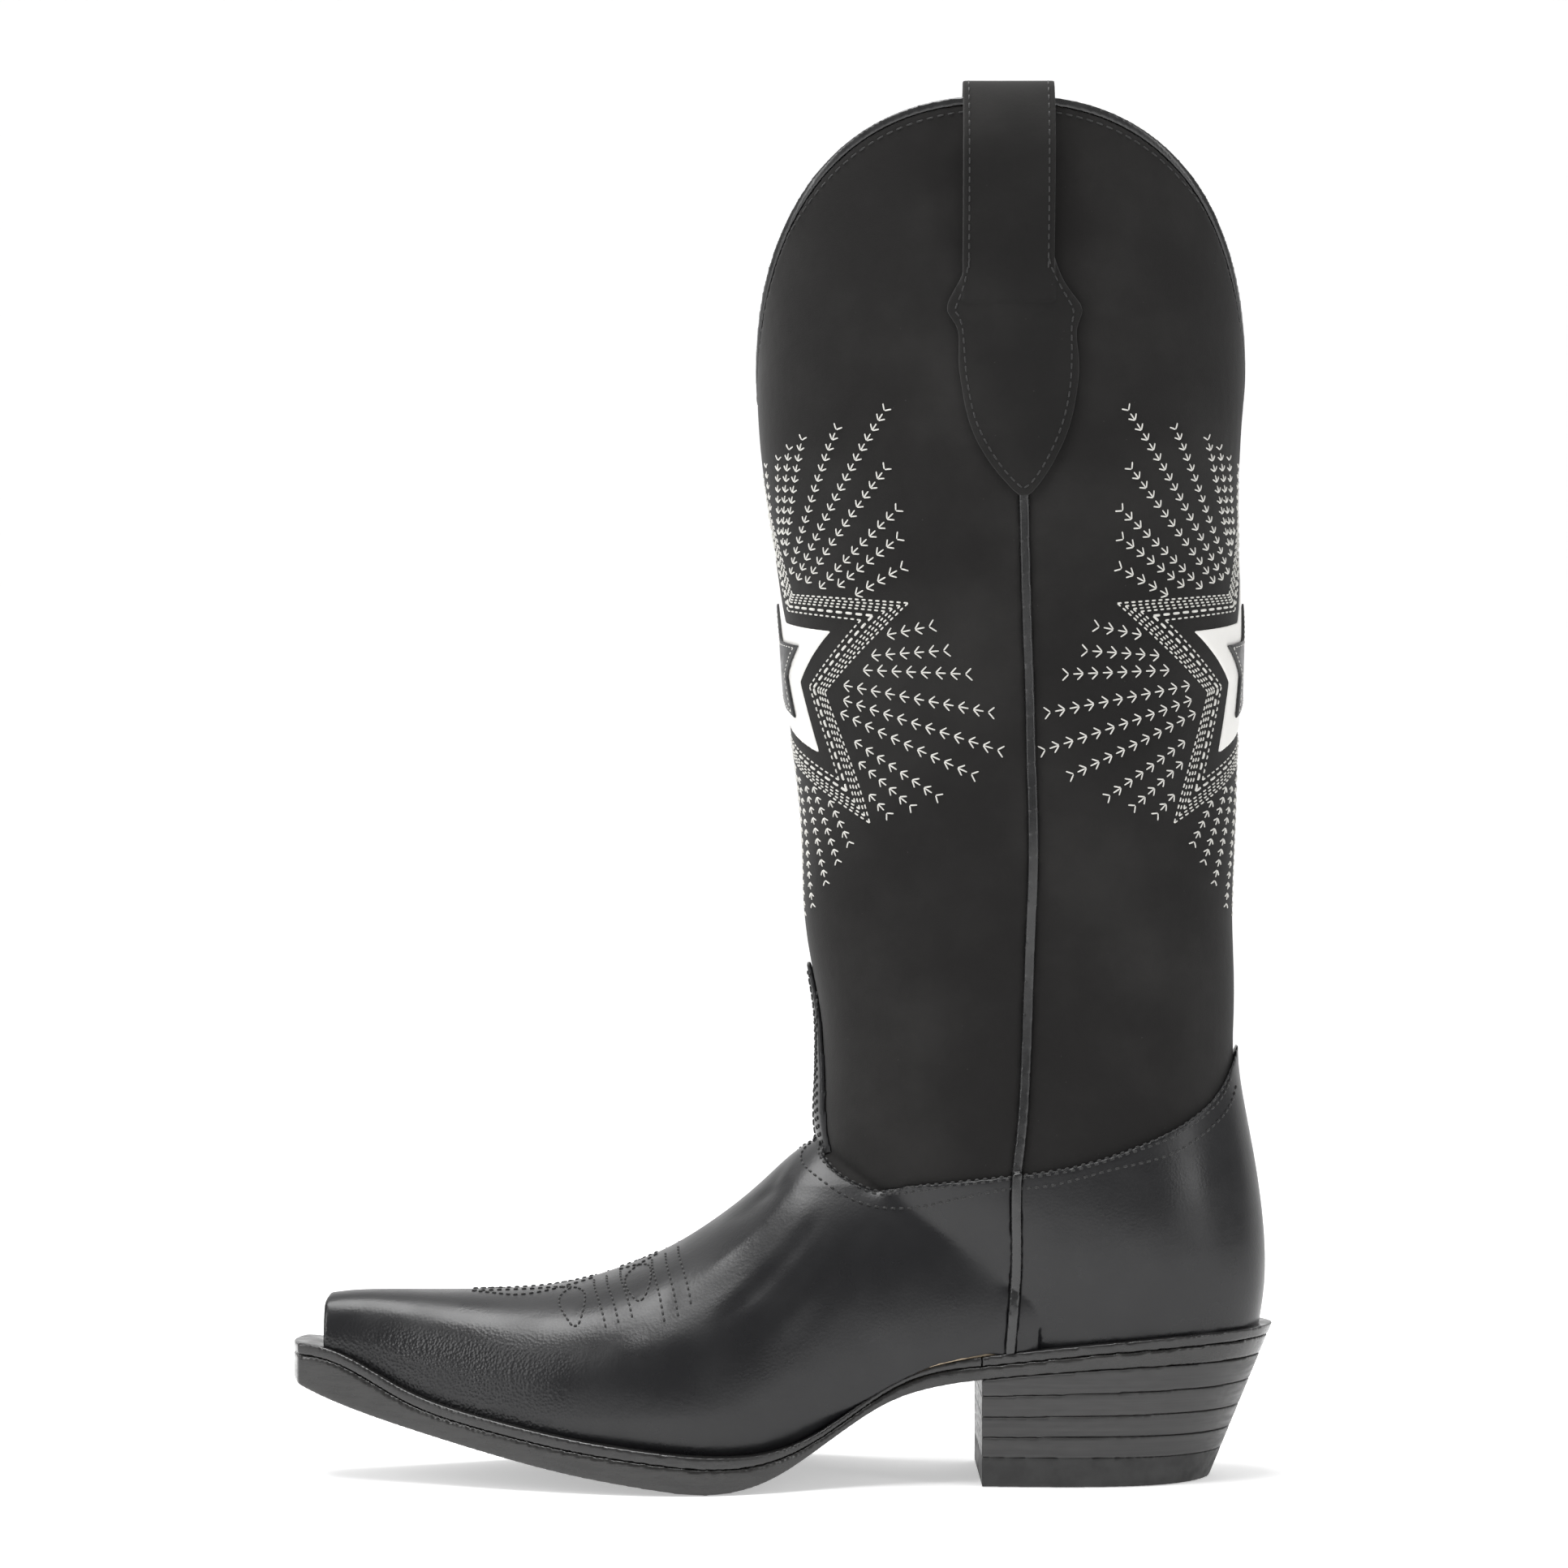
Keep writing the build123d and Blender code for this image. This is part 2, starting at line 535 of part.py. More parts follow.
def bottom_pieces():
    welt_band = between(FEATHER, WELT_LOW)
    sole_band = between(WELT_LOW, SOLE_LOW)
    fore = sole_plan() & side_box(-BIG, BREAST_X)
    heel = heel_block() & side_box(BREAST_X, BIG)
    inner_fore = sole_plan(WELT_LEDGE) & side_box(-BIG, BREAST_X)
    inner_heel = heel_block(WELT_LEDGE) & side_box(BREAST_X, BIG)
    shank = between(FEATHER, shifted(FEATHER, -SHANK)) & side_box(*SHANK_X)
    shank = shank & Box(BIG, SHANK_WIDTH, BIG)
    filler = welt_band & (inner_fore + inner_heel)
    envelope = fore + heel
    pieces = {
        "welt": (welt_band & fore) - inner_fore,
        "heel_rand": (welt_band & heel) - inner_heel,
        "bottom_filler": (filler & side_box(-BIG, 0)),
        "waist_filler": (filler & side_box(0, BREAST_X)) - shank,
        "heel_seat_filler": (filler & side_box(BREAST_X, BIG)) - shank,
        "shank": shank,
        "outsole": sole_band & envelope,
    }
    hollow = body(INSIDE)
    sock_line = shifted(FEATHER, INSOLE)
    pieces["insole"] = hollow & between(sock_line, FEATHER)
    pieces["sock_liner"] = hollow & between(shifted(FEATHER, INSOLE + SOCK), sock_line)
    pieces.update(heel_stack(heel))
    return pieces


def heel_stack(heel):
    """Leather lifts under the outsole's heel seat and the rubber top lift that meets the floor."""
    under = heel - above(SOLE_LOW)
    made = {}
    for k, (breast, back) in enumerate(LIFT_JOINTS):
        slab = lift_slab(breast, back)
        made[f"heel_lift_{k + 1}"] = under & slab
        under = under - slab
    made["top_lift"] = under
    return made


def lift_slab(breast, back):
    """All that lies over a straight side-view line through the heights at breast and back."""
    slope = (back - breast) / (HEEL_BACK_X - BREAST_X)
    front_z, back_z = [breast + slope * (x - BREAST_X) for x in (0, BIG / 3)]
    corners = [(0, front_z), (BIG / 3, back_z), (BIG / 3, BIG), (0, BIG)]
    return outline_prism(SIDE, Polyline(*corners, close=True))


def fasteners(pieces):
    """Nails and pegs, each in a hole of its own size."""
    lift_places = heel_places(*LIFT_NAILS) + LIFT_NAIL_ROW
    pegs = []
    for x, y in peg_places():
        low = blended(SOLE_LOW, x, 1) + PEG_ENDS[0]
        high = blended(WELT_LOW, x, 1) + PEG_ENDS[1]
        pegs += pins_at([(x, y)], PEG_R, low, high)
    groups = {
        "heel_nails": pins_at(heel_places(*HEEL_NAILS), NAIL_R, *HEEL_NAIL_Z),
        "top_lift_nails": pins_at(lift_places, NAIL_R, *LIFT_NAIL_Z),
        "waist_pegs": pegs,
    }
    made = {}
    for name, pins in groups.items():
        made[name] = Compound(children=pins)
        for other in BORED:
            near = [p for p in pins if boxes_meet(p, pieces[other])]
            if near:
                pieces[other] = pieces[other].cut(*near)
    return made


def boxes_meet(one, other):
    a, b = one.bounding_box(), other.bounding_box()
    return (a.max.X > b.min.X and a.min.X < b.max.X
            and a.max.Z > b.min.Z and a.min.Z < b.max.Z)


BORED = ["welt", "heel_rand", "bottom_filler", "waist_filler", "heel_seat_filler", "outsole",
         "heel_lift_1", "heel_lift_2", "heel_lift_3", "heel_lift_4", "top_lift"]


def main():
    pieces = bottom_pieces()
    pieces.update(fasteners(pieces))
    pieces.update(upper_pieces())
    pieces.update(side_piping())
    pieces.update(top_binding())
    pieces.update(pull_straps())
    pieces.update(stars())
    os.makedirs("parts", exist_ok=True)
    for name, shape in pieces.items():
        export_step(shape, f"parts/{name}.step")


if __name__ == "__main__":
    main()
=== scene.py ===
import json
import math

import bmesh
import bpy
import numpy as np
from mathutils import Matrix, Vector
from mathutils.bvhtree import BVHTree


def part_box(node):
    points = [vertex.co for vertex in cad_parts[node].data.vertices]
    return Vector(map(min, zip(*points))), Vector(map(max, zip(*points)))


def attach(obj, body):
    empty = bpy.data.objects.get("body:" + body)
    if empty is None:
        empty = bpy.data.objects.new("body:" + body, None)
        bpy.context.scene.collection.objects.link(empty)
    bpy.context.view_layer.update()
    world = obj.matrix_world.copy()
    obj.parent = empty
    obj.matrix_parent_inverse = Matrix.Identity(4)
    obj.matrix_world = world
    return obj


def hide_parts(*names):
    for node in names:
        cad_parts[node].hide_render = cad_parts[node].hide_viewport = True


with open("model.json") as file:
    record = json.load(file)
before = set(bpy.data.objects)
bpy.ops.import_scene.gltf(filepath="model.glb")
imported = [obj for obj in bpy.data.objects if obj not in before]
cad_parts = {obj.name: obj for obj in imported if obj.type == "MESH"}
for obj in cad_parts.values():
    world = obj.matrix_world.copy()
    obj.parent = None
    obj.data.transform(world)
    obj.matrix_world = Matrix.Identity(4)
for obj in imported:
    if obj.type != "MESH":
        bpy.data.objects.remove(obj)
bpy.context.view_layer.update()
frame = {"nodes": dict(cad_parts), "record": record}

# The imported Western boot, finished: soft leather and suede, real stitches, studio light.
# Metres. The toe points to -X, the medial side is -Y and the floor is z = 0.

MM = 0.001
NODES = frame["nodes"]
SLOT_OF = {part["node"]: part["material_slot"] for part in frame["record"]["subparts"]}

# ---------------------------------------------------------------- driving sizes, millimetres
AXIS_X = 63.5                 # the shaft's upright axis
VOXEL = {"smooth_leather": 0.6, "shaft_suede": 0.65, "strap_suede": 0.45, "piping_leather": 0.32,
         "binding_leather": 0.45, "white_leather": 0.3, "black_star_leather": 0.3,
         "welt_leather": 0.5, "outsole_leather": 0.65, "heel_stack_leather": 0.5,
         "top_lift_rubber": 0.5}
ROUNDS = {"smooth_leather": 9, "shaft_suede": 7, "strap_suede": 6, "piping_leather": 6,
          "binding_leather": 5, "white_leather": 4, "black_star_leather": 4,
          "welt_leather": 5, "outsole_leather": 4, "heel_stack_leather": 2, "top_lift_rubber": 2}
SWELL = {"piping_leather": 0.32, "white_leather": -0.10, "black_star_leather": -0.05,
         "shaft_suede": 0.05}             # how far a piece's surface moves out after easing
STAR_SINK = 0.45              # how far the star's leathers are pressed into the suede
FEATHER_TUCK, FEATHER_BAND = 1.3, 6.0     # the upper's lower edge is tucked down to the welt
THROAT = ((2, 12, 60, 64), (30, 44, 84, 87))   # x and z where the instep is eased, with fades
THROAT_ROUNDS = 400
LINING_EDGE = 5.0             # longest edge kept in a lining's mesh
LINING_ROUNDS = 8             # at most this many rounds of cutting its edges
LINING_CREASE = math.radians(40)
EASE_FACTOR = 0.5
WELD = 1e-6                   # metres between vertices that are merged
FEATHER_STATIONS = (-134.0, 140.0, 4.0)   # first, last and step along the insole
FEATHER_WINDOW = 6            # how far along the insole each station looks

STAR_Z = 238.5
STAR_TIP, STAR_RATIO = 31.7, 0.50          # the white star
OUTER_TIP, OUTER_RATIO = 56.9, 0.45        # the outermost line of stitching
BLACK_LINE_TIP = 16.6
FINE_LINES = (41.5, 49.5, 51.9, 54.4, 56.9)
BOLD_LINE = 45.5
FINE_STITCH = (1.3, 0.75, 0.24)            # length, gap, radius
BOLD_STITCH = (2.4, 0.9, 0.38)
STAR_STITCH = (0.95, 0.7, 0.13)
CHEVRON_PITCH = (3.1, 4.3)                 # for upright and for level rays
CHEVRON_TOE = 0.72                         # length of a toe over the pitch
CHEVRON_SPREAD = math.radians(44)
CHEVRON_RADIUS = 0.22
CHEVRON_SIDE = 0.85                        # a side toe's length over the middle toe's
RAY_GAP = 1.0                              # between the star's outermost line and a ray
STAR_STEP = 36                             # degrees from a tip to the next inner corner
# where the rays of chevrons end: girth from the front or back line, and height
RAY_TIPS = [(0.0, 297.0), (8.0, 299.0), (16.5, 300.7), (21.9, 303.5), (27.3, 306.1), (39.3, 308.7),
            (54.6, 313.8), (53.0, 296.7), (55.2, 284.5), (54.8, 276.1), (55.4, 267.4),
            (62.5, 249.8), (65.9, 242.5), (71.3, 235.4), (76.0, 224.0), (76.7, 212.7),
            (67.8, 205.4), (56.3, 198.9), (48.1, 195.8), (40.6, 193.4), (27.3, 184.9),
            (22.9, 179.6), (18.1, 173.4), (11.3, 166.6), (4.0, 164.0)]

# the vamp's edge in side view (x, z), and the tongue's in front view (half width, z)
EDGE_SIDE = [(13.2, 93.4), (15.6, 90.6), (19.4, 88.2), (25, 86.4), (33, 86.8), (48, 88.4),
             (64.2, 90.3), (70.5, 91.0), (86.9, 93.9), (103.2, 99.1), (114.5, 104.2),
             (125.7, 112.5), (130.6, 119.8), (135.6, 133.0)]
EDGE_FRONT = [(0.8, 149.6), (3.6, 142.0), (6.4, 131.0), (9.0, 118.0), (10.2, 108.0),
              (10.4, 101.0), (10.2, 96.0)]
EDGE_STEP = 2.0               # spacing of the points laid along the edge
EDGE_ROWS = (1.3, 3.1, 9.4)                # distances of the three rows from the edge
EDGE_STITCH = (1.5, 0.9, 0.34)

# toe stitching as seen from above (x, y), on the medial side; the lateral side mirrors it
TOE_LEAF = [[(-92.5, 3.0), (-85, 7.0), (-78.5, 9.6), (-71, 8.6), (-63.5, 5.6), (-56, 3.0)],
            [(-92.5, 3.0), (-84, 3.0), (-76, 3.4), (-68, 5.0), (-62.4, 9.0)]]
TOE_LOOPS = [[(-62.4, 9.0), (-65.6, 14.5), (-65.0, 21.5), (-60.4, 29.5), (-58.2, 23.0),
              (-58.6, 15.0), (-62.0, 9.2), (-66.0, 6.6)],
             [(-37.0, 2.5), (-42.6, 7.0), (-46.4, 14.0), (-45.6, 22.0), (-41.6, 28.6),
              (-39.0, 22.0), (-39.6, 12.0), (-43.4, 6.8), (-49.0, 3.5)]]
TOE_LINES = [(-55.9, 1.0), (-52.2, 1.0), (-48.2, 1.0), (-38.9, 1.1), (-34.9, 1.1), (-31.2, 1.05)]
TOE_LINE_SHAPE = [(0.0, 6.5), (0.3, 13.0), (1.4, 20.0), (4.4, 32.5)]
TOE_STITCH = (1.6, 0.8, 0.34)

RIM_TOP, RIM_DIP, RIM_POWER = 402.4, 318.0, 2.4
LEG_POWER = 2.2               # roundness of the leg's section
RIM_START, RIM_ROW = 2.6, 4.4      # below the rim: where the line starts, and the row itself
RIM_STITCH = (2.2, 0.9, 0.24)
RIM_GAP, RIM_POINTS = 0.06, 160    # radians left at each end of a half round, and its points
LEAF = [(51.5, 356.0), (49.8, 347.5), (47.1, 339.8), (49.2, 336.4), (50.1, 327.0),
        (50.9, 319.0), (53.6, 307.3), (59.2, 296.6), (65.0, 289.6), (69.3, 286.7),
        (73.2, 289.8), (77.6, 296.6), (81.9, 306.4), (84.3, 317.1), (84.9, 327.0),
        (84.9, 336.8), (86.0, 340.0), (82.8, 345.7), (79.0, 352.7), (78.0, 356.0)]
LEAF_INSET = 2.0
LEAF_MIDDLE = (68.0, 325.0)
LOOP_OUTSIDE = [(38.9, 352.0), (42.3, 364.0), (44.8, 380.0), (43.8, 395.0), (36.6, 406.6),
                (29.6, 395.0), (28.0, 380.0), (30.3, 364.0)]
LOOP_EDGES = (53.2, 76.1)
STRAP_STITCH = (1.9, 0.8, 0.22)

# soft folds of the vamp: start (x, z), end (x, z), half width and height
FOLDS = [((8, 90), (-34, 52), 3.2, 0.55), ((2, 92), (-20, 74), 2.0, -0.45),
         ((14, 84), (-24, 44), 3.0, -0.5), ((4, 96), (-8, 84), 1.4, 0.45),
         ((0, 93), (-12, 80), 1.3, -0.4), ((20, 78), (-10, 38), 4.0, 0.45),
         ((-30, 60), (-48, 40), 3.0, -0.35)]
FOLD_BEND = 2.2               # how far a fold's middle bows to the side
FOLD_ENDS = (0.35, 0.6)       # shares of its length where a fold is whole and starts to fade
FOLD_CENTRE_Z, FOLD_TILT = 40, 1.2        # folds move out from this height, more up than across
FOLD_SIDES = (4, 14)          # distance from the middle plane where folds start and are whole

# soft waves of the shaft: height, length up the shaft, waves round it, phase
HANG_WAVES = [(0.55, 17.0, 2.0, 0.6), (0.4, 26.0, -3.0, 2.1), (0.3, 11.0, 5.0, 0.0)]
HANG_GROWS, HANG_FADES = (118, 175), (290, 345)     # heights where they grow and where they fade
HANG_LOST = 0.75              # share of the waves that is lost by the rim


# ---------------------------------------------------------------- the leather's soft hang
def smooth_step(low, high, value):
    share = np.clip((value - low) / (high - low), 0, 1)
    return share * share * (3 - 2 * share)


def hang(points):
    """The shift, in millimetres, that every piece of the shaft shares at these points."""
    x, y, z = points.T
    turn = np.arctan2(y, AXIS_X - x)
    wave = 0 * z
    for height, length, turns, phase in HANG_WAVES:
        wave += height * np.sin(z / length + turns * turn + phase)
    amount = wave * smooth_step(*HANG_GROWS, z) * (1 - HANG_LOST * smooth_step(*HANG_FADES, z))
    size = np.hypot(x - AXIS_X, y) + 1e-6
    return np.stack([amount * (x - AXIS_X) / size, amount * y / size, 0 * z], axis=1)


def folds(points):
    """The shift, in millimetres, of the vamp's soft folds over the instep and the ball."""
    x, y, z = points.T
    total = 0 * x
    whole, fade = FOLD_ENDS
    for (x0, z0), (x1, z1), width, height in FOLDS:
        length = math.hypot(x1 - x0, z1 - z0)
        along = ((x - x0) * (x1 - x0) + (z - z0) * (z1 - z0)) / length
        bend = FOLD_BEND * np.sin(along / length * math.pi)
        across = ((x - x0) * (z1 - z0) - (z - z0) * (x1 - x0)) / length + bend
        ends = smooth_step(0, whole * length, along)
        ends = ends * (1 - smooth_step(fade * length, length, along))
        total += height * np.exp(-(across / width) ** 2) * ends
    out = np.stack([0 * x, y, FOLD_TILT * (z - FOLD_CENTRE_Z)], axis=1)
    out /= np.linalg.norm(out, axis=1)[:, None] + 1e-6
    return out * (total * smooth_step(*FOLD_SIDES, np.abs(y)))[:, None]


def warped(points):
    """Where points given in millimetres lie once the leather hangs softly."""
    return points + hang(points) + folds(points)


# ---------------------------------------------------------------- meshes
def mesh_points(mesh):
    flat = np.empty(len(mesh.vertices) * 3)
    mesh.vertices.foreach_get("co", flat)
    return flat.reshape(-1, 3)


def move_points(mesh, points):
    mesh.vertices.foreach_set("co", points.astype(np.float32).ravel())
    mesh.update()


def welded_copy(node):
    """A new object with the node's mesh, its doubled vertices merged."""
    mesh = NODES[node].data.copy()
    work = bmesh.new()
    work.from_mesh(mesh)
    bmesh.ops.remove_doubles(work, verts=work.verts, dist=WELD)
    work.to_mesh(mesh)
    work.free()
    piece = bpy.data.objects.new("finished_" + node, mesh)
    bpy.context.scene.collection.objects.link(piece)
    return piece


def stand_for(piece, node):
    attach(piece, "root")
    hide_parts(node)


def softened(node):
    """The node remeshed evenly, so that its cut edges are rounded and it can be bent."""
    piece = welded_copy(node)
    slot = SLOT_OF[node]
    remesh = piece.modifiers.new("even", "REMESH")
    remesh.mode = "VOXEL"
    remesh.voxel_size = VOXEL[slot] * MM
    ease = piece.modifiers.new("ease", "SMOOTH")
    ease.factor = EASE_FACTOR
    ease.iterations = ROUNDS[slot]
    graph = bpy.context.evaluated_depsgraph_get()
    mesh = bpy.data.meshes.new_from_object(piece.evaluated_get(graph))
    piece.modifiers.clear()
    piece.data = mesh
    mesh.shade_smooth()
    if slot in SWELL:
        normals = np.array([v.normal for v in mesh.vertices])
        move_points(mesh, mesh_points(mesh) + normals * SWELL[slot] * MM)
    stand_for(piece, node)
    return piece


def ease_throat(piece):
    """Blends the hollow where the instep rises into the leg, away from the cut edges."""
    points = mesh_points(piece.data) / MM
    (x0, x1, x2, x3), (z0, z1, z2, z3) = THROAT
    along = smooth_step(x0, x1, points[:, 0]) * (1 - smooth_step(x2, x3, points[:, 0]))
    weight = along * smooth_step(z0, z1, points[:, 2]) * (1 - smooth_step(z2, z3, points[:, 2]))
    group = piece.vertex_groups.new(name="throat")
    for i in np.nonzero(weight > 0.01)[0]:
        group.add([int(i)], float(weight[i]), "REPLACE")
    ease = piece.modifiers.new("ease", "SMOOTH")
    ease.factor = EASE_FACTOR
    ease.iterations = THROAT_ROUNDS
    ease.vertex_group = "throat"
    graph = bpy.context.evaluated_depsgraph_get()
    mesh = bpy.data.meshes.new_from_object(piece.evaluated_get(graph))
    piece.modifiers.clear()
    piece.vertex_groups.clear()
    piece.data = mesh


def tuck_to_welt(piece):
    """Moves the upper's lower edge down to the feather line that the insole's underside shows."""
    sole = mesh_points(NODES["insole"].data) / MM
    stations = np.arange(*FEATHER_STATIONS)
    lows = [sole[np.abs(sole[:, 0] - x) < FEATHER_WINDOW, 2].min() for x in stations]
    points = mesh_points(piece.data) / MM
    above = points[:, 2] - np.interp(points[:, 0], stations, lows)
    points[:, 2] -= FEATHER_TUCK * (1 - smooth_step(0, FEATHER_BAND, above))
    move_points(piece.data, points * MM)


def sink_star(piece):
    """Presses a star's leather towards the shaft's axis, into the suede."""
    points = mesh_points(piece.data) / MM
    out = np.stack([points[:, 0] - AXIS_X, points[:, 1], 0 * points[:, 2]], axis=1)
    out /= np.linalg.norm(out, axis=1)[:, None]
    move_points(piece.data, (points - out * STAR_SINK) * MM)


def divided(node):
    """The node's own faces cut small enough to bend, for the thin linings."""
    piece = welded_copy(node)
    work = bmesh.new()
    work.from_mesh(piece.data)
    for _ in range(LINING_ROUNDS):
        long = [e for e in work.edges if e.calc_length() > LINING_EDGE * MM]
        if not long:
            break
        bmesh.ops.subdivide_edges(work, edges=long, cuts=1)
        bmesh.ops.triangulate(work, faces=[f for f in work.faces if len(f.verts) > 3])
    work.to_mesh(piece.data)
    work.free()
    piece.data.shade_smooth()
    piece.data.set_sharp_from_angle(angle=LINING_CREASE)
    stand_for(piece, node)
    return piece


def bend_piece(piece):
    move_points(piece.data, warped(mesh_points(piece.data) / MM) * MM)


def tree_of(pieces):
    """One search tree over the final meshes of several pieces."""
    points, polygons, start = [], [], 0
    for piece in pieces:
        points += [v.co.copy() for v in piece.data.vertices]
        polygons += [[start + i for i in p.vertices] for p in piece.data.polygons]
        start = len(points)
    return BVHTree.FromPolygons(points, polygons)


# ---------------------------------------------------------------- stitches
STITCH_SIDES = 6
STITCH_RINGS = [(0.0, 0.45, -0.9), (0.1, 0.85, 0.05), (0.35, 1.0, 0.4), (0.65, 1.0, 0.4),
                (0.9, 0.85, 0.05), (1.0, 0.45, -0.9)]      # place, radius and rise in radii
CURVE_STEPS = 12              # points between two given ones
LINE_STEP = 1.5               # usual spacing of the points along a line on the leather
REACH = 0.2                   # metres: farther than any point of the boot from the leather


def stitch_piece(name, stitches, radius, material):
    """One mesh of many short threads, each of which dives into the leather at both ends.

    A stitch is a start, an end and the leather's outward direction, in metres.
    """
    start = np.array([s[0] for s in stitches])
    run = np.array([s[1] for s in stitches]) - start
    out = np.array([s[2] for s in stitches])
    side = np.cross(run, out)
    side /= np.linalg.norm(side, axis=1)[:, None] + 1e-12
    r = radius * MM
    rings = []
    for place, share, rise in STITCH_RINGS:
        for k in range(STITCH_SIDES):
            turn = 2 * math.pi * k / STITCH_SIDES
            lift = r * (rise + share * math.sin(turn))
            rings.append(start + run * place + out * lift + side * (r * share * math.cos(turn)))
    points = np.stack(rings, axis=1).reshape(-1, 3)
    each = len(STITCH_RINGS) * STITCH_SIDES
    template = [list(range(STITCH_SIDES))[::-1], list(range(each - STITCH_SIDES, each))]
    for j in range(len(STITCH_RINGS) - 1):
        for k in range(STITCH_SIDES):
            a, b = j * STITCH_SIDES + k, j * STITCH_SIDES + (k + 1) % STITCH_SIDES
            template.append([a, b, b + STITCH_SIDES, a + STITCH_SIDES])
    faces = [[i + n * each for i in face] for n in range(len(stitches)) for face in template]
    mesh = bpy.data.meshes.new(name)
    mesh.from_pydata(points.tolist(), [], faces)
    mesh.shade_smooth()
    mesh.materials.append(material)
    piece = bpy.data.objects.new(name, mesh)
    bpy.context.scene.collection.objects.link(piece)
    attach(piece, "root")


def resampled(points, step):
    """Points evenly spaced along a line of points, with about the given step."""
    points = np.array(points, float)
    lengths = np.linalg.norm(np.diff(points, axis=0), axis=1)
    walked = np.concatenate([[0], np.cumsum(lengths)])
    count = max(2, int(round(walked[-1] / step)) + 1)
    places = np.linspace(0, walked[-1], count)
    return np.stack([np.interp(places, walked, points[:, k]) for k in range(points.shape[1])], axis=1)


def curved(points, step=1.0):
    """A smooth line through given points: Catmull-Rom, then even spacing."""
    p = np.array(points, float)
    p = np.vstack([2 * p[0] - p[1], p, 2 * p[-1] - p[-2]])
    line = []
    for i in range(1, len(p) - 2):
        for t in np.linspace(0, 1, CURVE_STEPS, endpoint=False):
            a = 2 * p[i]
            b = (p[i + 1] - p[i - 1]) * t
            c = (2 * p[i - 1] - 5 * p[i] + 4 * p[i + 1] - p[i + 2]) * t * t
            d = (3 * p[i] - p[i - 1] - 3 * p[i + 1] + p[i + 2]) * t ** 3
            line.append((a + b + c + d) / 2)
    line.append(p[-2])
    return resampled(line, step)


def settled(tree, point):
    """The nearest place on the leather, with the direction out of it."""
    place, normal, _, _ = tree.find_nearest(Vector(point), REACH)
    return place, normal


def row(tree, line, stitch):
    """Stitches of (length, gap, radius) laid along a line of points on the leather, in metres."""
    length, gap, _ = stitch
    line = np.array(line)
    total = np.linalg.norm(np.diff(line, axis=0), axis=1).sum() / MM
    count = max(1, int(round(total / (length + gap))))
    marks = resampled(line, total * MM / count)
    made = []
    share = length / (length + gap)
    for a, b in zip(marks[:-1], marks[1:]):
        middle, half = (a + b) / 2, (b - a) / 2 * share
        start, normal = settled(tree, middle - half)
        end, other = settled(tree, middle + half)
        if start is None or end is None:
            continue
        made.append((start, end, (normal + other).normalized()))
    return made


# ---------------------------------------------------------------- places on the leather
RAY_LENGTH = 0.5              # metres, longer than the boot
OUTSIDE, OVERHEAD = 200, 110  # where rays start: beside or ahead of the boot, and over the toe


def hit(tree, origin, direction):
    place, normal, _, _ = tree.ray_cast(Vector(origin) * MM, Vector(direction).normalized(), RAY_LENGTH)
    return place, normal


def from_side(tree, points, sign):
    """Side-view points (x, z) met by looking at the boot from one side."""
    found = [hit(tree, (x, sign * OUTSIDE, z), (0, -sign, 0))[0] for x, z in points]
    return [p for p in found if p is not None and sign * p.y > 0]


def from_front(tree, points, sign):
    found = [hit(tree, (-OUTSIDE, sign * y, z), (1, 0, 0))[0] for y, z in points]
    return [p for p in found if p is not None and p.x < 0.5 * AXIS_X * MM]


def from_above(tree, points, sign):
    found = [hit(tree, (x, sign * y, OVERHEAD), (0, 0, -1))[0] for x, y in points]
    return [p for p in found if p is not None]


class ShaftFace:
    """The front or back of the shaft, addressed by girth from its middle line and height."""

    LEVELS = np.arange(156.0, 318.0, 4.0)
    TURNS = np.radians(np.arange(0.0, 94.0, 2.0))
    AWAY = 150                # from the axis to where rays start, outside every section

    def __init__(self, tree, front):
        self.tree = tree
        self.ahead = -1 if front else 1
        self.girths = {}
        for side in (-1, 1):
            rows = [self.walked(z, side) for z in self.LEVELS]
            self.girths[side] = np.array(rows)

    def look(self, z, turn, side):
        out = (self.ahead * math.cos(turn), side * math.sin(turn))
        start = (AXIS_X + self.AWAY * out[0], self.AWAY * out[1], z)
        return hit(self.tree, start, (-out[0], -out[1], 0))

    def walked(self, z, side):
        places = [np.array(self.look(z, turn, side)[0]) for turn in self.TURNS]
        steps = [np.linalg.norm(b - a) / MM for a, b in zip(places[:-1], places[1:])]
        return np.concatenate([[0], np.cumsum(steps)])

    def place(self, girth, z):
        side = -1 if girth < 0 else 1
        at = (z - self.LEVELS[0]) / (self.LEVELS[1] - self.LEVELS[0])
        low = int(np.clip(at, 0, len(self.LEVELS) - 2))
        f = at - low
        reach = (1 - f) * self.girths[side][low] + f * self.girths[side][low + 1]
        turn = float(np.interp(abs(girth), reach, self.TURNS))
        return self.look(z, turn, side)


# ---------------------------------------------------------------- the star's stitching
def star_ratio(tip):
    return STAR_RATIO + (OUTER_RATIO - STAR_RATIO) * (tip - STAR_TIP) / (OUTER_TIP - STAR_TIP)


def star_corners(tip, ratio):
    corners = []
    for k in range(360 // STAR_STEP + 1):
        reach = tip if k % 2 == 0 else tip * ratio
        turn = math.radians(STAR_STEP * k)
        corners.append((reach * math.sin(turn), STAR_Z + reach * math.cos(turn)))
    return corners


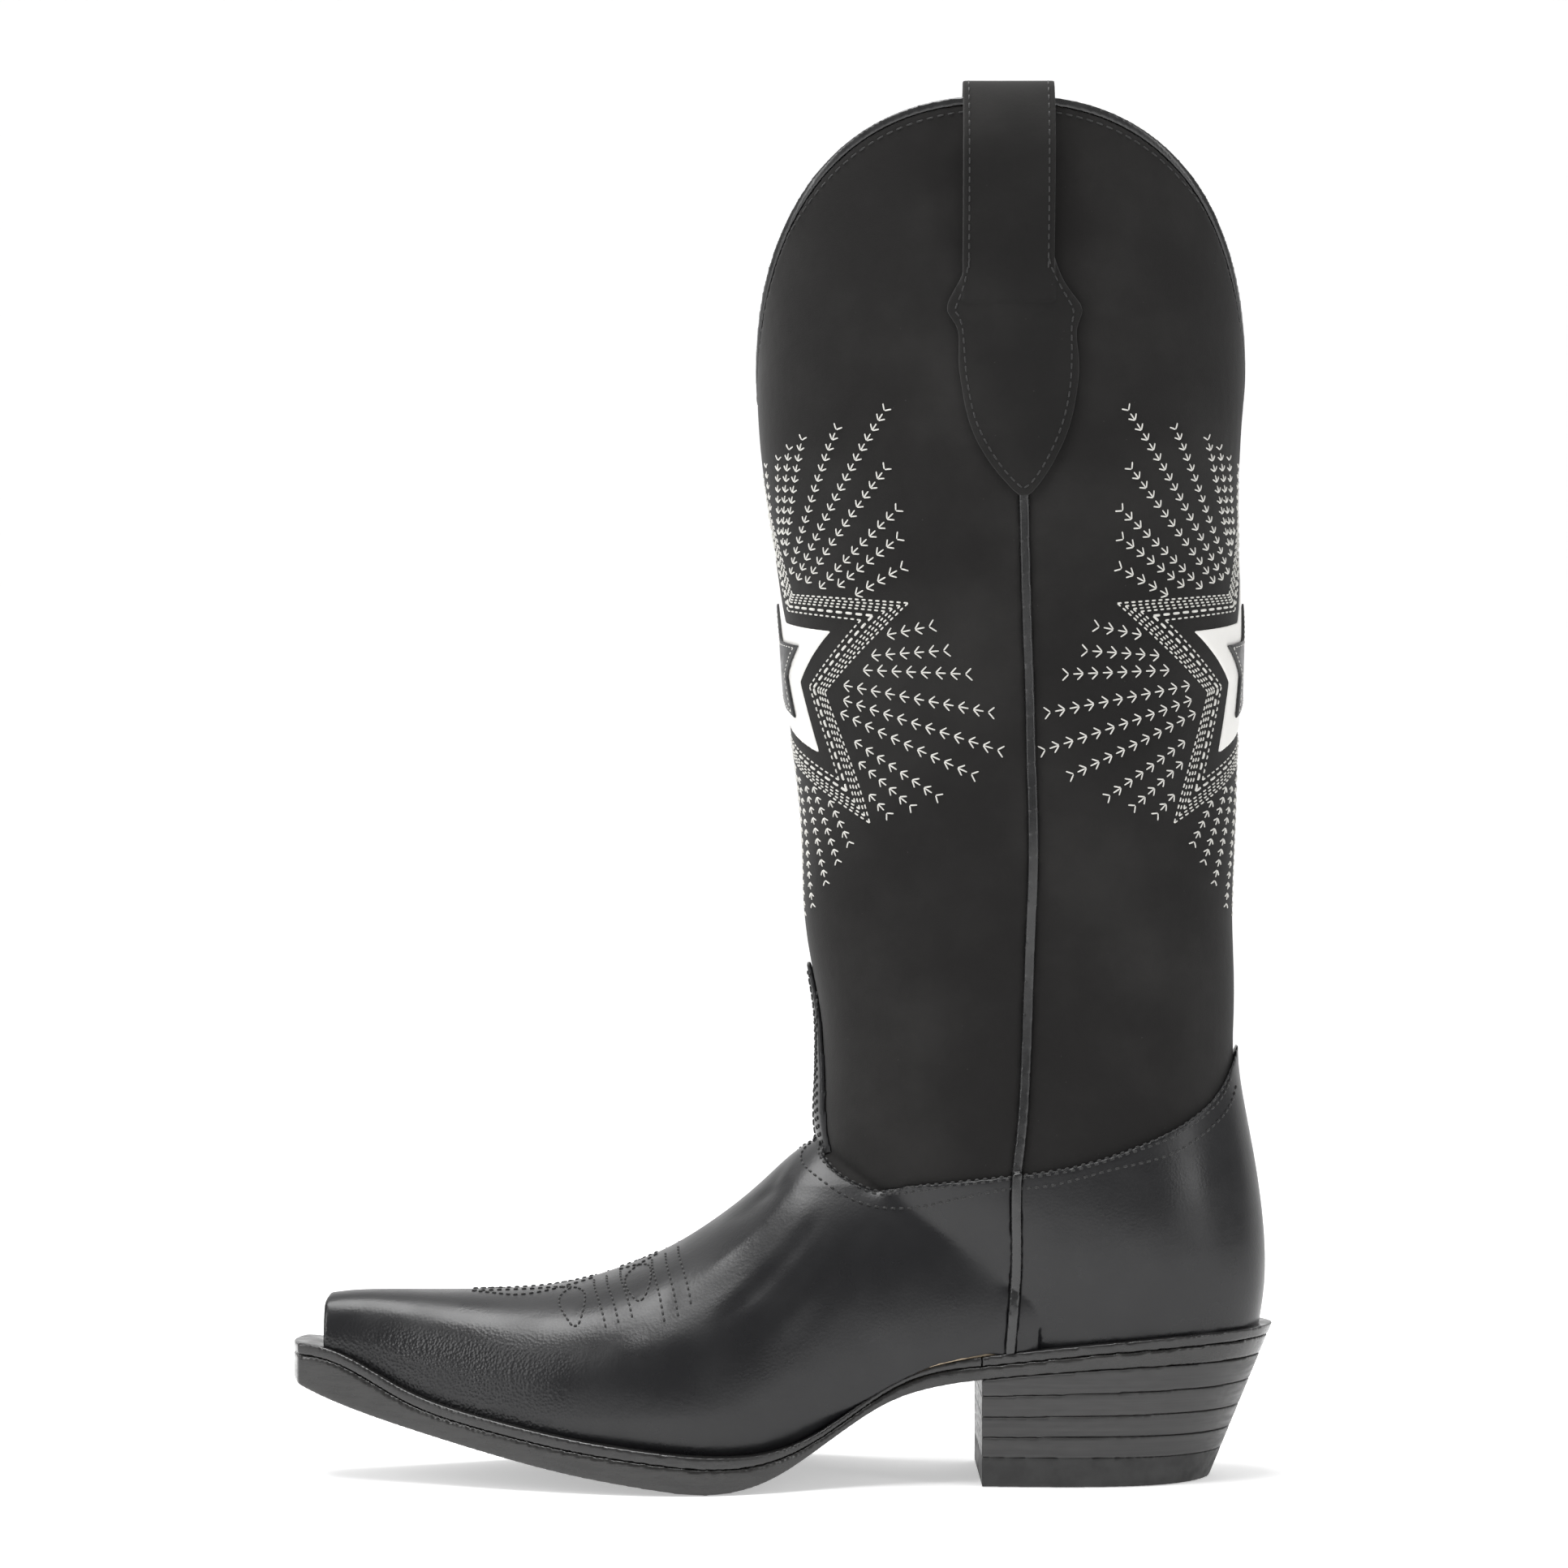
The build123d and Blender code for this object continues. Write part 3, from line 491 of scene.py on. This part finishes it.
def star_line(face, tip, stitch, ratio=None):
    """Stitches along a star's ten sides; each side starts and ends with a stitch."""
    length, gap, _ = stitch
    corners = star_corners(tip, ratio or star_ratio(tip))
    made = []
    for (s0, z0), (s1, z1) in zip(corners[:-1], corners[1:]):
        side = math.hypot(s1 - s0, z1 - z0)
        count = max(1, int(round((side + gap) / (length + gap))))
        pitch = (side + gap) / count
        for i in range(count):
            a, b = i * pitch / side, (i * pitch + pitch - gap) / side
            start, normal = face.place(s0 + (s1 - s0) * a, z0 + (z1 - z0) * a)
            end, other = face.place(s0 + (s1 - s0) * b, z0 + (z1 - z0) * b)
            made.append((start, end, (normal + other).normalized()))
    return made


def star_reach(turn):
    """Distance from the star's centre to its outermost line, in a direction from straight up."""
    tip, waist = OUTER_TIP, OUTER_TIP * OUTER_RATIO
    step = math.radians(STAR_STEP)
    part = abs((turn + step) % (2 * step) - step)
    return tip * waist * math.sin(step) / (tip * math.sin(part) + waist * math.sin(step - part))


def chevron_ray(face, tip_girth, tip_z):
    """A row of bird's-foot stitches that runs out from the star and ends in a plain V."""
    turn = math.atan2(tip_girth, tip_z - STAR_Z)
    near = star_reach(turn) + RAY_GAP
    far = math.hypot(tip_girth, tip_z - STAR_Z)
    pitch = CHEVRON_PITCH[0] + (CHEVRON_PITCH[1] - CHEVRON_PITCH[0]) * math.sin(turn) ** 2
    length = CHEVRON_TOE * pitch
    count = int((far - near) / pitch)
    made = []
    for i in range(count):
        at = far - length - i * pitch
        toes = (-1, 1) if i == 0 else (-1, 0, 1)
        base, normal = face.place(at * math.sin(turn), STAR_Z + at * math.cos(turn))
        for toe in toes:
            way = turn + toe * CHEVRON_SPREAD
            reach = length * (CHEVRON_SIDE if toe else 1.0)
            s = at * math.sin(turn) + reach * math.sin(way)
            z = STAR_Z + at * math.cos(turn) + reach * math.cos(way)
            end, other = face.place(s, z)
            made.append((base, end, (normal + other).normalized()))
    return made


def star_stitching(tree, cover_tree, front, thread):
    where = "front" if front else "back"
    face, cover = ShaftFace(tree, front), ShaftFace(cover_tree, front)
    fine = [s for tip in FINE_LINES for s in star_line(face, tip, FINE_STITCH)]
    stitch_piece(f"star_lines_{where}", fine, FINE_STITCH[2], thread)
    bold = star_line(face, BOLD_LINE, BOLD_STITCH)
    stitch_piece(f"star_bold_line_{where}", bold, BOLD_STITCH[2], thread)
    inner = star_line(cover, BLACK_LINE_TIP, STAR_STITCH, STAR_RATIO)
    stitch_piece(f"star_inner_line_{where}", inner, STAR_STITCH[2], thread)
    rays = []
    for girth, z in RAY_TIPS:
        for sign in ((1,) if girth == 0 else (-1, 1)):
            rays += chevron_ray(face, sign * girth, z)
    stitch_piece(f"star_rays_{where}", rays, CHEVRON_RADIUS, thread)


# ---------------------------------------------------------------- seams
OFFSET_STEPS = 4              # a line is moved sideways in this many steps
OFFSET_EASES = 6              # and eased this many times after each


def offset_line(tree, line, distance):
    """A line on the leather moved sideways over it, then eased and laid on it again."""
    line = np.array(line)
    for _ in range(OFFSET_STEPS):
        step = np.gradient(line, axis=0)
        moved = []
        for place, along in zip(line, step):
            _, normal = settled(tree, place)
            way = np.cross(along, np.array(normal))
            way /= np.linalg.norm(way) + 1e-12
            moved.append(place + way * distance * MM / OFFSET_STEPS)
        line = np.array(moved)
        for _ in range(OFFSET_EASES):
            line[1:-1] = (line[:-2] + 2 * line[1:-1] + line[2:]) / 4
        line = np.array([settled(tree, place)[0] for place in line])
        line = resampled(line, LINE_STEP * MM)
    return line


def edge_rows(tree, thread):
    """Three rows of stitching that follow the upper edge of the vamp and the counter."""
    made = []
    for sign in (-1, 1):
        front = from_front(tree, curved(EDGE_FRONT, EDGE_STEP), sign)
        side = from_side(tree, curved(EDGE_SIDE, EDGE_STEP), sign)
        line = resampled(np.array([list(p) for p in front + side]), LINE_STEP * MM)
        for distance in EDGE_ROWS:
            made += row(tree, offset_line(tree, line, distance * -sign), EDGE_STITCH)
    stitch_piece("edge_stitching", made, EDGE_STITCH[2], thread)


def toe_stitching(tree, thread):
    made = []
    for sign in (-1, 1):
        shapes = TOE_LEAF + TOE_LOOPS
        for x, stretch in TOE_LINES:
            shapes.append([(x + dx, y * stretch) for dx, y in TOE_LINE_SHAPE])
        for shape in shapes:
            line = [list(p) for p in from_above(tree, curved(shape), sign)]
            made += row(tree, line, TOE_STITCH)
    stitch_piece("toe_stitching", made, TOE_STITCH[2], thread)


def rim_height(share):
    return RIM_DIP + (RIM_TOP - RIM_DIP) * (1 - share ** RIM_POWER) ** (1 / RIM_POWER)


def rim_row(tree, thread):
    """One row of stitching just below the bound rim, round the whole shaft."""
    low, high = [Vector(corner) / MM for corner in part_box("top_binding")]
    middle, half = (low.x + high.x) / 2, (high.x - low.x) / 2
    made = []
    for sign in (-1, 1):
        line = []
        for turn in np.linspace(RIM_GAP, math.pi - RIM_GAP, RIM_POINTS):
            share = abs(math.cos(turn))
            out = Vector((-half * math.cos(turn),
                          sign * high.y * (1 - share ** LEG_POWER) ** (1 / LEG_POWER), 0))
            start = Vector((middle, 0, rim_height(share) - RIM_START)) + 2 * out
            place = hit(tree, start, -out)[0]
            if place is not None and (place - Vector((middle * MM, 0, 0))).dot(out) > 0:
                line.append(list(place))
        made += row(tree, offset_line(tree, line, -sign * (RIM_ROW - RIM_START)), RIM_STITCH)
    stitch_piece("rim_stitching", made, RIM_STITCH[2], thread)


def strap_rows(pieces, thread):
    """Stitching along the edges of each strap's leaf and of its free loop."""
    made = []
    for sign, piece in pieces:
        tree = tree_of([piece])
        middle = np.array(LEAF_MIDDLE)
        outline = curved(LEAF)
        step = np.gradient(outline, axis=0)
        inward = np.stack([step[:, 1], -step[:, 0]], axis=1)
        inward /= np.linalg.norm(inward, axis=1)[:, None]
        inward *= np.sign(((middle - outline) * inward).sum(axis=1))[:, None]
        leaf = from_side(tree, outline + inward * LEAF_INSET, sign)
        made += row(tree, [list(p) for p in leaf], STRAP_STITCH)
        for x in LOOP_EDGES:
            line = [(x * MM, sign * y * MM, z * MM) for y, z in curved(LOOP_OUTSIDE, LINE_STEP)]
            made += row(tree, line, STRAP_STITCH)
    stitch_piece("strap_stitching", made, STRAP_STITCH[2], thread)


# ---------------------------------------------------------------- materials
MIX_SHARE, MIX_FIRST, MIX_SECOND, MIX_RESULT = 0, 6, 7, 2      # a mix node's colour sockets
NOISE_SPREAD = (0.3, 0.7)     # nearly all of a noise node's values lie between these


class Finish:
    """A node material under construction."""

    def __init__(self, name, color, roughness, **sockets):
        self.material = bpy.data.materials.new(name)
        self.material.use_nodes = True
        self.tree = self.material.node_tree
        self.shader = self.tree.nodes["Principled BSDF"]
        self.shader.inputs["Base Color"].default_value = (*color, 1)
        self.shader.inputs["Roughness"].default_value = roughness
        for socket, value in sockets.items():
            self.shader.inputs[socket.replace("_", " ")].default_value = value
        self.place = self.node("ShaderNodeTexCoord").outputs["Object"]
        self.normal = None

    def node(self, kind, **settings):
        made = self.tree.nodes.new(kind)
        for key, value in settings.items():
            setattr(made, key, value)
        return made

    def link(self, a, b):
        self.tree.links.new(a, b)

    def stretched(self, scale):
        mapping = self.node("ShaderNodeMapping")
        mapping.inputs["Scale"].default_value = scale
        self.link(self.place, mapping.inputs["Vector"])
        return mapping.outputs["Vector"]

    def noise(self, scale, detail=3.0, stretch=None):
        made = self.node("ShaderNodeTexNoise")
        made.inputs["Scale"].default_value = scale
        made.inputs["Detail"].default_value = detail
        self.link(self.stretched(stretch) if stretch else self.place, made.inputs["Vector"])
        return made.outputs["Fac"]

    def cells(self, scale):
        made = self.node("ShaderNodeTexVoronoi", feature="F1")
        made.inputs["Scale"].default_value = scale
        self.link(self.place, made.inputs["Vector"])
        return made.outputs["Distance"]

    def ramp(self, value, low, high, out_low=0.0, out_high=1.0):
        made = self.node("ShaderNodeMapRange", interpolation_type="SMOOTHSTEP")
        made.inputs["From Min"].default_value = low
        made.inputs["From Max"].default_value = high
        made.inputs["To Min"].default_value = out_low
        made.inputs["To Max"].default_value = out_high
        self.link(value, made.inputs["Value"])
        return made.outputs["Result"]

    def math(self, operation, a, b):
        made = self.node("ShaderNodeMath", operation=operation)
        for socket, value in zip(made.inputs, (a, b)):
            if isinstance(value, (int, float)):
                socket.default_value = value
            else:
                self.link(value, socket)
        return made.outputs["Value"]

    def axis(self, name):
        made = self.node("ShaderNodeSeparateXYZ")
        self.link(self.place, made.inputs["Vector"])
        return made.outputs[name]

    def tint(self, value, dark, light):
        made = self.node("ShaderNodeMix", data_type="RGBA")
        made.inputs[MIX_FIRST].default_value = (*dark, 1)
        made.inputs[MIX_SECOND].default_value = (*light, 1)
        self.link(value, made.inputs[MIX_SHARE])
        self.link(made.outputs[MIX_RESULT], self.shader.inputs["Base Color"])

    def roughness(self, value, low, high):
        self.link(self.ramp(value, *NOISE_SPREAD, low, high), self.shader.inputs["Roughness"])

    def bump(self, value, strength, distance):
        made = self.node("ShaderNodeBump")
        made.inputs["Strength"].default_value = strength
        made.inputs["Distance"].default_value = distance * MM
        self.link(value, made.inputs["Height"])
        if self.normal is not None:
            self.link(self.normal, made.inputs["Normal"])
        self.normal = made.outputs["Normal"]
        self.link(self.normal, self.shader.inputs["Normal"])


def smooth_leather():
    f = Finish("smooth_leather", (0.008, 0.008, 0.009), 0.3, Specular_IOR_Level=0.45)
    mottle = f.noise(55, 4)
    f.tint(mottle, (0.005, 0.005, 0.006), (0.011, 0.011, 0.012))
    f.roughness(f.noise(60, 3), 0.26, 0.36)
    toe = f.ramp(f.axis("X"), -0.045, -0.085)
    low = f.ramp(f.axis("Z"), 0.050, 0.036)
    cells = f.cells(1150)
    share = f.ramp(f.math("MULTIPLY", toe, low), 0, 1, 0.12, 1)
    grain = f.math("MULTIPLY", cells, share)
    f.bump(grain, 0.7, 0.20)
    f.bump(f.noise(1300, 2), 0.3, 0.05)
    f.bump(f.noise(45, 2), 0.10, 0.9)
    return f.material


def suede(name, dark, light):
    f = Finish(name, dark, 0.95, Specular_IOR_Level=0.15, Sheen_Weight=0.12, Sheen_Roughness=0.6)
    specks = f.ramp(f.cells(420), 0.10, 0.05)
    rare = f.ramp(f.noise(330, 1), 0.60, 0.70)
    cloud = f.ramp(f.noise(24, 5), 0.35, 0.75, 0.0, 0.5)
    mixed = f.math("MAXIMUM", f.math("MULTIPLY", specks, rare), cloud)
    f.tint(mixed, dark, light)
    f.bump(f.noise(2600, 3), 0.5, 0.10)
    f.bump(f.noise(420, 3), 0.3, 0.18)
    return f.material


def gloss_leather(name, roughness):
    f = Finish(name, (0.010, 0.010, 0.011), roughness, Coat_Weight=0.35, Coat_Roughness=0.12)
    f.tint(f.noise(180, 3), (0.006, 0.006, 0.007), (0.018, 0.018, 0.018))
    f.roughness(f.noise(260, 4), roughness * 0.75, roughness * 1.5)
    f.bump(f.noise(520, 4), 0.25, 0.12)
    return f.material


def white_leather():
    f = Finish("white_leather", (0.80, 0.79, 0.76), 0.42)
    f.tint(f.noise(70, 4), (0.74, 0.73, 0.70), (0.84, 0.83, 0.81))
    f.roughness(f.noise(300, 3), 0.36, 0.5)
    f.bump(f.cells(1500), 0.25, 0.06)
    return f.material


def thread(name, dark, light, roughness):
    f = Finish(name, light, roughness, Sheen_Weight=0.2)
    f.tint(f.noise(1500, 2), dark, light)
    f.bump(f.noise(5200, 1, (1, 1, 0.35)), 0.5, 0.05)
    return f.material


def sole_leather(name, dark, light, roughness):
    f = Finish(name, dark, roughness, Coat_Weight=0.25, Coat_Roughness=0.2)
    f.tint(f.noise(90, 5, (1, 1, 5)), dark, light)
    f.roughness(f.noise(150, 4, (1, 1, 4)), roughness * 0.8, roughness * 1.5)
    f.bump(f.noise(260, 4, (1, 1, 7)), 0.22, 0.14)
    return f.material


def stack_leather():
    f = Finish("heel_stack_leather", (0.030, 0.030, 0.031), 0.38, Specular_IOR_Level=0.5)
    layers = f.noise(34, 5, (0.35, 0.35, 22))
    f.tint(layers, (0.014, 0.014, 0.015), (0.052, 0.051, 0.050))
    f.roughness(f.noise(160, 4, (1, 1, 5)), 0.30, 0.48)
    f.bump(layers, 0.35, 0.20)
    f.bump(f.noise(700, 3), 0.12, 0.05)
    return f.material


def rubber():
    f = Finish("top_lift_rubber", (0.016, 0.016, 0.016), 0.55)
    f.tint(f.noise(160, 4), (0.010, 0.010, 0.010), (0.026, 0.026, 0.026))
    f.roughness(f.noise(220, 4), 0.45, 0.68)
    f.bump(f.noise(1200, 3), 0.3, 0.08)
    return f.material


def hidden(slot, color, roughness, metallic):
    """A plain but varied finish for pieces that show little, in the record's own colour."""
    f = Finish(slot, color, roughness, Metallic=metallic)
    f.tint(f.noise(120, 4), tuple(c * 0.75 for c in color), tuple(min(1, c * 1.2) for c in color))
    f.roughness(f.noise(200, 3), roughness * 0.8, min(1, roughness * 1.25))
    f.bump(f.noise(900, 3), 0.3, 0.1)
    return f.material


def record_color(slot):
    entry = next(m for m in frame["record"]["materials"] if m["slot"] == slot)
    return tuple(entry["base_color"][:3])


def finishes():
    made = {
        "smooth_leather": smooth_leather(),
        "shaft_suede": suede("shaft_suede", (0.0080, 0.0074, 0.0072), (0.030, 0.029, 0.028)),
        "strap_suede": suede("strap_suede", (0.0072, 0.0068, 0.0066), (0.026, 0.025, 0.024)),
        "piping_leather": gloss_leather("piping_leather", 0.20),
        "binding_leather": gloss_leather("binding_leather", 0.26),
        "white_leather": white_leather(),
        "black_star_leather": gloss_leather("black_star_leather", 0.34),
        "welt_leather": sole_leather("welt_leather", (0.008, 0.008, 0.008), (0.018, 0.017, 0.017), 0.26),
        "outsole_leather": sole_leather("outsole_leather", (0.008, 0.008, 0.008),
                                        (0.020, 0.019, 0.018), 0.22),
        "heel_stack_leather": stack_leather(),
        "top_lift_rubber": rubber(),
    }
    for slot in sorted(set(SLOT_OF.values()) - set(made)):
        steel = "steel" in slot
        made[slot] = hidden(slot, record_color(slot), 0.35 if steel else 0.6, 1.0 if steel else 0.0)
    return made


# ---------------------------------------------------------------- studio, in metres
FLOOR_FRONT, FLOOR_SIDE, FLOOR_SINK = -6.0, 7.0, 0.0002
SWEEP_START, SWEEP_RADIUS, SWEEP_POINTS, SWEEP_TURN = 1.6, 1.2, 14, 0.1
WALL_TOP = 7.0
FLOOR_GLOW, WORLD_GLOW = 0.42, 0.34
AIM = (0.0, 0.0, 0.16)
LAMPS = [("overhead", (-0.25, -0.1, 1.35), (1.0, 0.8), 20),       # name, place, size, watts
         ("left_strip", (-1.2, -0.7, 0.75), (0.3, 1.1), 6),
         ("right_strip", (1.2, -0.9, 0.7), (0.3, 1.2), 4)]
LENS, SENSOR = 113.35, 36.0                # millimetres
EYE = (0.0, -1.46, 0.2038)


def soft_box(name, place, size, power):
    data = bpy.data.lights.new(name, "AREA")
    data.shape = "RECTANGLE"
    data.size, data.size_y = size
    data.energy = power
    lamp = bpy.data.objects.new(name, data)
    lamp.location = place
    lamp.rotation_euler = (Vector(AIM) - Vector(place)).to_track_quat("-Z", "Y").to_euler()
    bpy.context.scene.collection.objects.link(lamp)


def backdrop():
    """A pale floor that sweeps up into a back wall."""
    profile = [(FLOOR_FRONT, 0.0), (SWEEP_START, 0.0)]
    for turn in np.linspace(SWEEP_TURN, math.pi / 2, SWEEP_POINTS):
        back = SWEEP_START + SWEEP_RADIUS * math.sin(turn)
        profile.append((back, SWEEP_RADIUS - SWEEP_RADIUS * math.cos(turn)))
    profile.append((SWEEP_START + SWEEP_RADIUS, WALL_TOP))
    points = [(x, y, z - FLOOR_SINK) for y, z in profile for x in (-FLOOR_SIDE, FLOOR_SIDE)]
    faces = [(2 * i, 2 * i + 1, 2 * i + 3, 2 * i + 2) for i in range(len(profile) - 1)]
    mesh = bpy.data.meshes.new("floor")
    mesh.from_pydata(points, [], faces)
    mesh.shade_smooth()
    f = Finish("floor", (0.9, 0.9, 0.9), 0.8, Specular_IOR_Level=0.1,
               Emission_Color=(1, 1, 1, 1), Emission_Strength=FLOOR_GLOW)
    f.tint(f.noise(3, 2), (0.89, 0.89, 0.89), (0.91, 0.91, 0.91))
    mesh.materials.append(f.material)
    floor = bpy.data.objects.new("floor", mesh)
    bpy.context.scene.collection.objects.link(floor)


def studio():
    backdrop()
    world = bpy.data.worlds.new("studio")
    bpy.context.scene.world = world
    world.use_nodes = True
    world.node_tree.nodes["Background"].inputs["Color"].default_value = (1, 1, 1, 1)
    world.node_tree.nodes["Background"].inputs["Strength"].default_value = WORLD_GLOW
    for name, place, size, power in LAMPS:
        soft_box(name, place, size, power)
    bpy.context.scene.view_settings.view_transform = "Standard"


def camera():
    """Level with the middle of the boot, square to its medial side."""
    data = bpy.data.cameras.new("camera")
    data.lens, data.sensor_width = LENS, SENSOR
    eye = bpy.data.objects.new("camera", data)
    eye.location = EYE
    eye.rotation_euler = (math.pi / 2, 0, 0)
    bpy.context.scene.collection.objects.link(eye)
    bpy.context.scene.camera = eye


# ---------------------------------------------------------------- assembly
BENT = {"smooth_leather", "shaft_suede", "strap_suede", "piping_leather", "binding_leather",
        "white_leather", "black_star_leather", "lining_leather"}
FINISH = finishes()
pieces = {}
for node in sorted(NODES):
    slot = SLOT_OF[node]
    if slot in VOXEL:
        pieces[node] = softened(node)
    elif node.startswith("shaft_lining"):
        pieces[node] = divided(node)
    else:
        NODES[node].data.materials.clear()
        NODES[node].data.materials.append(FINISH[slot])
        continue
    if slot == "smooth_leather":
        tuck_to_welt(pieces[node])
    if node == "vamp":
        ease_throat(pieces[node])
    if node.startswith("star"):
        sink_star(pieces[node])
    if slot in BENT:
        bend_piece(pieces[node])
    pieces[node].data.materials.clear()
    pieces[node].data.materials.append(FINISH[slot])

WHITE_THREAD = thread("white_thread", (0.50, 0.49, 0.46), (0.78, 0.77, 0.73), 0.6)
BLACK_THREAD = thread("black_thread", (0.004, 0.004, 0.004), (0.012, 0.012, 0.012), 0.5)
shaft_tree = tree_of([pieces["shaft_front"], pieces["shaft_back"]])
foot_tree = tree_of([pieces["vamp"], pieces["counter_cover"]])
for front in (True, False):
    star = pieces["star_black_front" if front else "star_black_back"]
    star_tree = tree_of([star, pieces["shaft_front"], pieces["shaft_back"]])
    star_stitching(shaft_tree, star_tree, front, WHITE_THREAD)
edge_rows(foot_tree, BLACK_THREAD)
toe_stitching(foot_tree, BLACK_THREAD)
rim_row(shaft_tree, BLACK_THREAD)
strap_rows([(-1, pieces["pull_strap_medial"]), (1, pieces["pull_strap_lateral"])], BLACK_THREAD)
studio()
camera()
